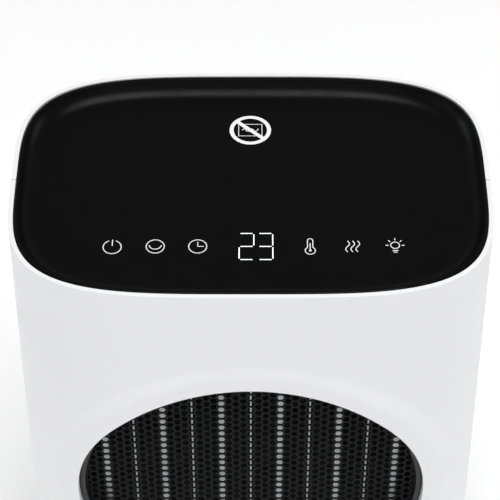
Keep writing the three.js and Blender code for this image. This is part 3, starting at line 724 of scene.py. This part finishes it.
def makeGuard():
    values = guardValues
    side = values["column"] / 1.5
    stretch = Matrix.Diagonal((1, values["pitch"] / (side * 3 ** 0.5), 1, 1))
    pointsAside = Matrix.Rotation(pi / 6, 4, "Z")  # each cell's points lie left and right
    bm = bmesh.new()
    columns = int(values["holeLimit"] / values["column"])
    for column in range(-columns, columns + 1):
        x = column * values["column"]
        shift = values["pitch"] / 2 if column % 2 else 0
        for row in range(-values["rows"], values["rows"] + 1):
            up = row * values["pitch"] + shift
            if x * x + up * up < values["holeLimit"] ** 2:
                spot = Matrix.Translation((x, up, 0)) @ stretch @ pointsAside
                bmesh.ops.create_circle(bm, cap_ends=True, segments=6, radius=side, matrix=spot)
    holes = list(bm.faces)
    bmesh.ops.inset_individual(
        bm, faces=holes, thickness=values["strand"] / 2, use_even_offset=True)
    bmesh.ops.delete(bm, geom=holes, context="FACES_ONLY")
    bmesh.ops.remove_doubles(bm, verts=bm.verts, dist=values["weld"])
    turnUp = Matrix.Translation((0, guardLow.y, outletHeight)) @ Matrix.Rotation(pi / 2, 4, "X")
    bmesh.ops.transform(bm, matrix=turnUp, verts=bm.verts)
    bm.normal_update()
    if bm.faces[:][0].normal.y > 0:
        bmesh.ops.reverse_faces(bm, faces=bm.faces)
    bm = thickened(bm, guardHigh.y - guardLow.y)
    return bevelSharp(bm, values["edge"], 1, angle=75)  # only where a face meets a hole's wall


addPiece("guardMesh", makeGuard(), "heater_body", powderSteel, "black_steel", ["outlet_guard"])


# A flat ring round the outlet, between two radii and two depths
def outletRing(inner, outer, front, back, segments):
    profile = [(inner, front), (outer, front), (outer, back), (inner, back)]
    return turned(profile, (0, outletHeight), "Y", segments)


proud = guardValues["marginProud"]
margin = outletRing(
    guardValues["margin"], guardHigh.x, guardLow.y - proud, guardHigh.y + proud, 160)
addPiece("guardMargin", margin, "heater_body", powderSteel, "black_steel")

ringLow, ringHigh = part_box("guard_ring")
guardRing = outletRing(guardValues["ringInner"], ringHigh.x, ringLow.y, ringHigh.y, 192)
guardRing = bevelSharp(guardRing, guardValues["ringEdge"], 3)
addPiece("guardRing", guardRing, "heater_body", blackAbs, "black_abs", ["guard_ring"])
print("guard made")


elementValues = {
    "fold": 1.6 * mm,  # one full fold of the fin strip
    "strip": 0.16 * mm,
    "divider": 0.7 * mm,
    "dividerProud": 0.5 * mm,
    "barEdge": 0.5 * mm,
}


# A strip folded to and fro between two sides, all the way up
def foldedStrip(x0, x1, low, high):
    folds = int((high.z - low.z) / (elementValues["fold"] / 2))
    bm = bmesh.new()
    bmesh.ops.create_grid(bm, x_segments=1, y_segments=folds, size=1)
    for vert in bm.verts:
        row = round((vert.co.y + 1) / 2 * folds)
        depth = low.y if vert.co.x < 0 else high.y
        vert.co = (x1 if row % 2 else x0, depth, low.z + (high.z - low.z) * row / folds)
    return modified(bm, "SOLIDIFY", thickness=elementValues["strip"], offset=0)


half = elementValues["divider"] / 2
dividers = []
for number in range(1, 8):
    low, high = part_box(f"fin_pack_{number}")
    at = middle(low.x, high.x)
    if number in (1, 7):  # the outer packs are closed by a divider at their outer side
        at = low.x + half if number == 1 else high.x - half
    front = low.y - elementValues["dividerProud"]
    dividers.append(blockBetween((at - half, front, low.z), (at + half, high.y, high.z)))
    sides = [(low.x, at - half), (at + half, high.x)]
    parts = [foldedStrip(x0, x1, low, high) for x0, x1 in sides if x1 - x0 > half]
    node = f"fin_pack_{number}"
    addPiece(f"finPack{number}", joined(*parts), "heater_body", finStripShadedDark, "aluminium", [node])

addPiece("finDividers", joined(*dividers), "heater_body", rolledAluminium, "aluminium")

for number in range(1, 7):
    node = f"ptc_bar_{number}"
    bar = bevelSharp(blockBetween(*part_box(node)), elementValues["barEdge"], 3)
    addPiece(f"heatingBar{number}", bar, "heater_body", rolledAluminium, "aluminium", [node])
print("heating element made")


baseLow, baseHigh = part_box("base_shell")
baseValues = {
    "rounding": 6 * mm,
    "wall": 2.4 * mm,
    "well": 50 * mm,
    "wellFloor": 16 * mm,
    "pivotHole": 10.4 * mm,
    "wellEdge": 0.8 * mm,
    "slotHalf": 2.6 * mm,
    "slotReach": (12.4 * mm, 47.6 * mm),
    "slotCut": (10 * mm, 18 * mm),  # heights that the slot's cutter runs between
}


def makeBase():
    values = baseValues
    outer, top, low, wall = baseHigh.x, baseHigh.z, baseLow.z, values["wall"]
    rounding, well, floor = values["rounding"], values["well"], values["wellFloor"]
    corner, up, edge = outer - rounding, top - rounding, values["wellEdge"]
    inner = rounding - wall
    angles = [radians(angle) for angle in range(0, 91, 9)]
    profile = [(outer - wall, low), (outer, low)]
    profile += [(corner + rounding * cos(a), up + rounding * sin(a)) for a in angles]
    profile += [(well + edge, top), (well, top - edge), (well, floor)]
    profile += [(values["pivotHole"], floor), (values["pivotHole"], floor - wall)]
    profile += [(well + wall, floor - wall), (well + wall, top - wall)]
    profile += [(corner + inner * cos(a), up + inner * sin(a)) for a in reversed(angles)]
    bm = turned(profile, segments=192)
    near, far = values["slotReach"]
    under, over = values["slotCut"]
    slot = blockBetween((-values["slotHalf"], -far, under), (values["slotHalf"], -near, over))
    return cutBy(bm, slot)


addPiece("baseShell", makeBase(), "base", whiteAbs, "white_abs", ["base_shell"])

baseCoverValues = {
    "hole": 3.6 * mm,  # lets the tip-over plunger through
    "holePlace": (0, 62.5 * mm),
    "holeTop": 8 * mm,
    "edge": 0.3 * mm,
}
discLow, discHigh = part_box("base_cover")
discProfile = [(0, discLow.z), (discHigh.x, discLow.z), (discHigh.x, discHigh.z), (0, discHigh.z)]
disc = turned(discProfile, closed=False, segments=128)
holeProfile = [(baseCoverValues["hole"], 0), (baseCoverValues["hole"], baseCoverValues["holeTop"])]
plungerHole = turned(holeProfile, baseCoverValues["holePlace"], segments=32, closed=False)
disc = bevelSharp(cutBy(disc, plungerHole), baseCoverValues["edge"])
addPiece("baseCover", disc, "base", blackAbs, "black_abs", ["base_cover"])

footValues = {"taper": 2 * mm, "edge": 0.3 * mm}
for number in (1, 2, 3, 4):
    node = f"rubber_foot_{number}"
    low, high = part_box(node)
    radius = (high.x - low.x) / 2
    spot = middle(low, high)
    profile = [(0, low.z), (radius - footValues["taper"], low.z), (radius, high.z), (0, high.z)]
    foot = turned(profile, (spot.x, spot.y), segments=48, closed=False)
    foot = bevelSharp(foot, footValues["edge"])
    addPiece(f"rubberFoot{number}", foot, "base", rubber, "rubber", [node])

glideValues = {"inner": 52 * mm, "edge": 0.4 * mm}
glideLow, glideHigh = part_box("glide_ring")
inner, outer = glideValues["inner"], glideHigh.x
glideProfile = [
    (inner, glideLow.z), (outer, glideLow.z), (outer, glideHigh.z), (inner, glideHigh.z)]
glideRing = bevelSharp(turned(glideProfile, segments=128), glideValues["edge"])
addPiece("glideRing", glideRing, "base", acetal, "acetal", ["glide_ring"])
print("base made")


coverValues = {
    "columns": 62,
    "rowHeight": (2.5 * mm, 1.9 * mm),  # slot, bar
    "border": 7 * mm,
    "ribs": (0, 19 * mm, 38 * mm),  # either side of the middle
    "ribHalf": 2 * mm,
    "wall": 2.2 * mm,
    "edge": 0.35 * mm,
    "tab": (14 * mm, 2 * mm, 2.2 * mm),  # half width, depth, thickness
    "tabBelow": 3 * mm,
    "tabEdge": 0.6 * mm,
}


def makeFilterCover():
    values = coverValues
    slotTall, barTall = values["rowHeight"]
    inside = coverHigh.z - coverLow.z - 2 * values["border"]
    slots = int((inside + barTall) / (slotTall + barTall))
    start = coverLow.z + (coverHigh.z - coverLow.z - slots * (slotTall + barTall) + barTall) / 2
    heights = [coverLow.z]
    for slot in range(slots):
        bottom = start + slot * (slotTall + barTall)
        heights += [bottom, bottom + slotTall]
    heights.append(coverHigh.z)
    bm = bmesh.new()
    bmesh.ops.create_grid(bm, x_segments=values["columns"], y_segments=len(heights) - 1, size=1)
    slotFaces = []
    for face in bm.faces:
        spot = face.calc_center_median()
        row = int((spot.y + 1) / 2 * (len(heights) - 1))
        x = abs(spot.x) * coverHigh.x
        isRib = any(abs(x - rib) < values["ribHalf"] for rib in values["ribs"])
        if row % 2 and x < coverHigh.x - values["border"] and not isRib:
            slotFaces.append(face)
    for vert in bm.verts:
        x = vert.co.x * coverHigh.x
        height = heights[round((vert.co.y + 1) / 2 * (len(heights) - 1))]
        vert.co = (x, wallDepth(x, height), height)
    bmesh.ops.delete(bm, geom=slotFaces, context="FACES")
    bm.normal_update()
    if bm.faces[:][0].normal.y < 0:
        bmesh.ops.reverse_faces(bm, faces=bm.faces)
    bm = bevelSharp(thickened(bm, values["wall"]), values["edge"], 2, 50)
    half, deep, thick = values["tab"]
    tabTop = coverHigh.z - values["tabBelow"]
    tab = blockBetween((-half, coverHigh.y - deep, tabTop - thick), (half, coverHigh.y, tabTop))
    return joined(bm, bevelSharp(tab, values["tabEdge"], 3))


addPiece("filterCover", makeFilterCover(), "filter_cover", whiteAbs, "white_abs", ["filter_cover"])


def makeHandGrip():
    values = gripValues
    centre = middle(gripLow, gripHigh)
    floor = bodyHalf[1] - values["depth"]
    levels = [(inset * mm, out * mm, None) for inset, out in values["flange"]]
    levels += [(inset * mm, 0, floor + up * mm) for inset, up in values["cup"]]

    def place(turn, level):
        inset, out, depth = level
        half = (values["half"][0] - inset, values["half"][1] - inset)
        across, up = slotPoint(turn, half, values["roundness"])
        height = centre.z + up
        if depth is None:
            depth = wallDepth(across, height) + out
        return Vector((across, depth, height))

    bm = lofted(levels, place, 96)
    halfWay = floor + values["depth"] / 2
    rim = [
        face for face in bm.faces
        if len(face.verts) > 4 and face.calc_center_median().y > halfWay]
    bmesh.ops.delete(bm, geom=rim, context="FACES_ONLY")
    bmesh.ops.recalc_face_normals(bm, faces=bm.faces)
    bm.normal_update()
    bottom = min(bm.faces, key=lambda face: face.calc_center_median().y)
    if bottom.normal.y < 0:
        bmesh.ops.reverse_faces(bm, faces=bm.faces)
    return thickened(bm, values["wall"])


addPiece("handGrip", makeHandGrip(), "heater_body", blackAbs, "black_abs", ["hand_grip"])

screwValues = {
    "shank": 1.3 * mm,
    "head": 2.5 * mm,
    "tip": 2.5 * mm,
    "point": 0.4,  # the tip's end, as a share of the shank
    "crown": ((1, 0.9), (0.8, 0.25), (0.5, 0)),  # share of the head's radius, millimetres down
    "cross": (1.6 * mm, 0.35 * mm, 1.2 * mm),  # half length, half width, depth
}


def makeScrew(node):
    low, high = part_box(node)
    spot = middle(low, high)
    head, shank, top = (high.x - low.x) / 2, screwValues["shank"], high.y
    under = top - screwValues["head"]
    profile = [(0, low.y), (shank * screwValues["point"], low.y)]
    profile += [(shank, low.y + screwValues["tip"]), (shank, under), (head, under)]
    profile += [(head * share, top - down * mm) for share, down in screwValues["crown"]]
    profile.append((0, top))
    screw = turned(profile, (spot.x, spot.z), "Y", 40, closed=False)
    long, thin, deep = screwValues["cross"]
    cross = [
        blockBetween((spot.x - a, top - deep, spot.z - b), (spot.x + a, top + mm, spot.z + b))
        for a, b in ((long, thin), (thin, long))]
    return cutBy(screw, *cross)


for number, name in enumerate(screwNames, 1):
    addPiece(f"shellScrew{number}", makeScrew(name), "heater_body", zincSteel, "steel", [name])

glandValues = {
    "bore": 3.7 * mm,
    "stem": 7 * mm,
    "flange": 9 * mm,
    "flangeEdge": ((-0.3, 0), (0, 0.3), (0, 0.9), (-0.4, 1.3)),  # millimetres, out and along
    "length": 5.1 * mm,  # from the wall to the ribbed sleeve's end
    "ribs": 3,
    "ribEdge": ((-0.7, 0), (-0.7, 0.35), (0, 0.5), (0, 1.0)),  # as in the flange
    "firstRib": 7.6 * mm,
    "taper": 0.5 * mm,  # from one rib to the next
    "end": 5.6 * mm,
    "boreEdge": 0.5 * mm,
}


def makeCordGland():
    values = glandValues
    bore, stem, edge = values["bore"], values["stem"], values["boreEdge"]
    back, wallFace, top = glandLow.y, glandHigh.y - values["length"], glandHigh.y
    profile = [(bore, back), (stem, back), (stem, wallFace)]
    for out, along in values["flangeEdge"]:
        profile.append((values["flange"] + out * mm, wallFace + along * mm))
    start = profile[-1][1]
    for rib in range(values["ribs"]):
        radius = values["firstRib"] - values["taper"] * rib
        ribStart = start + (top - start) * rib / values["ribs"]
        profile += [(radius + out * mm, ribStart + along * mm) for out, along in values["ribEdge"]]
    profile += [(values["end"], top), (bore + edge, top), (bore, top - edge)]
    spot = middle(glandLow, glandHigh)
    return turned(profile, (spot.x, spot.z), "Y", 64)


addPiece("cordGland", makeCordGland(), "heater_body", blackAbs, "black_abs", ["cord_gland"])


# A CAD piece whose shape is right, copied, merged and given eased edges
def eased(node, body, material, slotName, edge):
    bm = bmesh.new()
    bm.from_mesh(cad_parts[node].data)
    bmesh.ops.remove_doubles(bm, verts=bm.verts, dist=weld)
    bmesh.ops.dissolve_limit(bm, angle_limit=radians(1), verts=bm.verts, edges=bm.edges)
    if edge:
        bm = bevelSharp(bm, edge * mm, angle=50)
    first, *others = node.split("_")
    name = first + "".join(word.title() for word in others)
    addPiece(name, bm, body, material, slotName, [node])


easedPieces = {  # material, slot and edge width in millimetres
    "heater_body": {
        "light_box": (heatPlastic, "high_heat_plastic", 0.3),
        "display_module": (blackAbs, "black_abs", 0.4),
        "control_board": (solderMask, "circuit_board", 0.15),
        "heater_frame_top": (heatPlastic, "high_heat_plastic", 0.6),
        "heater_frame_bottom": (heatPlastic, "high_heat_plastic", 0.6),
        "thermal_cutout": (zincSteel, "steel", 0.3),
        "thermal_fuse": (heatPlastic, "high_heat_plastic", 0.4),
        "fan_shroud": (blackAbs, "black_abs", 0.4),
        "motor_stator": (laminatedSteel, "steel", 0.3),
        "motor_coil": (enamelledCopper, "copper_wire", 1.0),
        "motor_frame": (rolledAluminium, "aluminium", 0.4),
        "intake_grille": (blackAbs, "black_abs", 0.35),
        "switch_housing": (blackAbs, "black_abs", 0.45),
        "room_sensor": (blackAbs, "black_abs", 0.4),
        "heater_lead": (siliconeLead, "cable_red", 0),
        "motor_lead": (siliconeLead, "cable_red", 0),
        "bottom_plate": (blackAbs, "black_abs", 0.3),
        "retaining_ring": (zincSteel, "steel", 0.25),
        "swing_motor": (zincSteel, "steel", 0.6),
    },
    "fan_rotor": {
        "fan_impeller": (blackAbs, "black_abs", 0.3),
        "motor_rotor": (zincSteel, "steel", 0.3),
    },
    "swing_crank": {"swing_crank": (acetal, "acetal", 0.4)},
    "power_rocker": {"power_rocker": (blackAbs, "black_abs", 0.6)},
    "filter_cover": {"filter_mesh": (nylonNet, "filter_net", 0)},
    "tip_plunger": {"tip_plunger": (acetal, "acetal", 0.4)},
    "base": {"tip_switch": (blackAbs, "black_abs", 0.4)},
}
for body, nodes in easedPieces.items():
    for node, (material, slotName, edge) in nodes.items():
        eased(node, body, material, slotName, edge)

# The spring keeps its own shape, because it squashes
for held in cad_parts["tip_spring"].material_slots:
    held.material = zincSteel

boardParts = {  # corners in millimetres
    "mainBoard": ((-55, 10, 38), (55, 48, 39.6), solderMask, "circuit_board", 0.15),
    "mainBoardRelay": ((-10, 16, 39.6), (10, 32, 55), blackAbs, "black_abs", 0.5),
    "mainBoardCapacitor": ((-34, 14, 39.6), (-18, 22, 52), heatPlastic, "high_heat_plastic", 0.8),
    "mainBoardTerminals": ((-52, 14, 39.6), (-40, 30, 50), heatPlastic, "high_heat_plastic", 0.4),
    "mainBoardDriver": ((18, 12, 39.6), (40, 26, 44), blackAbs, "black_abs", 0.3),
}
for name, (low, high, material, slotName, edge) in boardParts.items():
    block = blockBetween(Vector(low) * mm, Vector(high) * mm)
    addPiece(name, bevelSharp(block, edge * mm), "heater_body", material, slotName, ["main_board"])
print("inner pieces made")

floorValues = {"half": 4, "roughness": 0.85, "glow": 0.16}  # the glow keeps it evenly pale
floorMaterial = startMaterial("painted studio floor", {
    "Base Color": linear("#fafafa"), "Roughness": floorValues["roughness"],
    "Emission Color": linear("#ffffff"), "Emission Strength": floorValues["glow"]})[0]
floorBm = bmesh.new()
bmesh.ops.create_grid(floorBm, x_segments=1, y_segments=1, size=floorValues["half"])
floorPiece = linked("studioFloor", meshOf("studioFloor", floorBm))
floorPiece.data.materials.append(floorMaterial)

lightValues = {  # place and aim in metres, size in metres, power in watts
    "overhead": ((0.18, -0.35, 1.7), (0, 0, 0.17), 0.9, 16.4),
    "leftSide": ((-1.3, -0.5, 0.75), (0, 0, 0.17), 1.0, 1.8),
    "rightSide": ((1.3, -0.5, 0.75), (0, 0, 0.17), 1.0, 0.6),
    "frontFill": ((0.0, -1.6, 0.7), (0, 0, 0.17), 1.2, 2.2),
    "rearLeft": ((-1.7, 0.8, 0.5), (0, 0.7, 0), 0.8, 5),
    "rearRight": ((1.7, 0.8, 0.5), (0, 0.7, 0), 0.8, 4),
}
for name, (place, aim, size, power) in lightValues.items():
    light = bpy.data.lights.new(name, "AREA")
    light.size = size
    light.energy = power
    lamp = linked(name, light)
    lamp.location = place
    lamp.rotation_euler = (Vector(aim) - Vector(place)).to_track_quat("-Z", "Y").to_euler()

skyStrength = 0.35
world = bpy.data.worlds.new("studio")
world.use_nodes = True
sky = world.node_tree.nodes["Background"].inputs
sky["Color"].default_value = linear("#ffffff")
sky["Strength"].default_value = skyStrength
bpy.context.scene.world = world
bpy.context.scene.view_settings.view_transform = "Standard"
print("floor and lights set")
